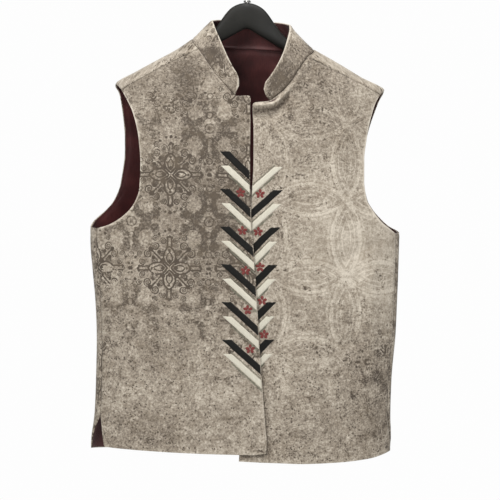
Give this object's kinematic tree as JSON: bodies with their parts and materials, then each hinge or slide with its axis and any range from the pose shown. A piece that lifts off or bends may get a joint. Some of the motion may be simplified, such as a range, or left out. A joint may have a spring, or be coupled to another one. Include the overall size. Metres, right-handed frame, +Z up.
{
  "type": "nehru jacket on a hanger",
  "caption": "Sleeveless nehru jacket in printed taupe cloth with a stand collar and maroon lining, on a broad black hanger.",
  "frame": {"origin": "the seat inside the crest of the hanger's hook, where it rests on a rail", "axes": "+Z up, along the hanging jacket; +X towards the wearer's left; -Y out of the jacket's front"},
  "size_m": [0.5112, 0.126, 0.8204],
  "materials": {
    "jacket_cloth": "matte printed twill with a soft nap",
    "lining_cloth": "satin lining",
    "hanger_plastic": "fine matte grain",
    "hook_steel": "polished wire"
  },
  "bodies": {
    "root": {"front_right": "jacket_cloth", "front_left": "jacket_cloth", "back": "jacket_cloth", "collar": "jacket_cloth", "collar_lining": "lining_cloth", "lining_front_right": "lining_cloth", "lining_front_left": "lining_cloth", "lining_back": "lining_cloth", "hanger_body": "hanger_plastic", "hanger_ferrule": "hook_steel", "hanger_hook": "hook_steel"}
  },
  "joints": []
}
